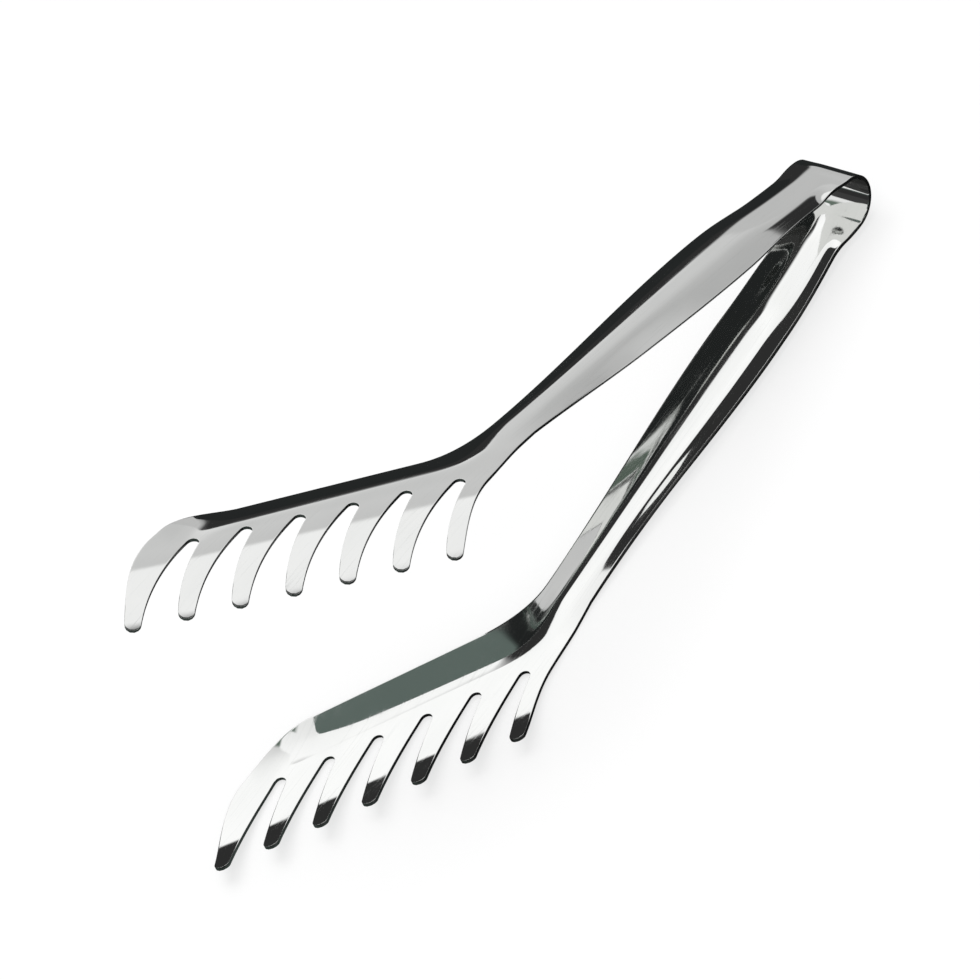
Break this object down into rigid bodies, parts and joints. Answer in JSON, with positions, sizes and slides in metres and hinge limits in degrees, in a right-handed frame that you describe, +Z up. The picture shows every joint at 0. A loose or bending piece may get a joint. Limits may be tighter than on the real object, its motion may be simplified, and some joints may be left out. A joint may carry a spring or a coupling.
{
  "type": "spaghetti tongs",
  "caption": "One-hand spaghetti tongs of folded polished steel strip: channelled grip arms joined by a spring bow, each ending in an angled comb of curled fingers.",
  "frame": {"origin": "under the middle of the box round the tongs, on the floor that they lie on", "axes": "+X from the fingertips towards the bow, +Y towards the combs' far ends, +Z up; the tongs lie on the lower arm's back, let go and open"},
  "size_m": [0.252, 0.073, 0.0925],
  "materials": {
    "polished_steel": "mirror polished"
  },
  "bodies": {
    "bow": {"spring_bow": "polished_steel"},
    "upper_arm": {"upper_arm": "polished_steel"},
    "lower_arm": {"lower_arm": "polished_steel"}
  },
  "joints": [
    {"name": "squeeze_upper", "type": "hinge", "parent": "bow", "child": "upper_arm", "pos_m": [0.12024, -0.01778, 0.01839], "axis": [-0.0023, -0.9999, -0.0146], "range_deg": [0, 9.9], "stiffness_Nm_per_rad": 6},
    {"name": "squeeze_lower", "type": "hinge", "parent": "bow", "child": "lower_arm", "pos_m": [0.11789, -0.01755, 0.00339], "axis": [0.0023, 0.9999, 0.0146], "range_deg": [0, 9.9], "stiffness_Nm_per_rad": 6}
  ],
  "couplings": [
    {"joint": "squeeze_lower", "follows": "squeeze_upper", "ratio": 1}
  ]
}
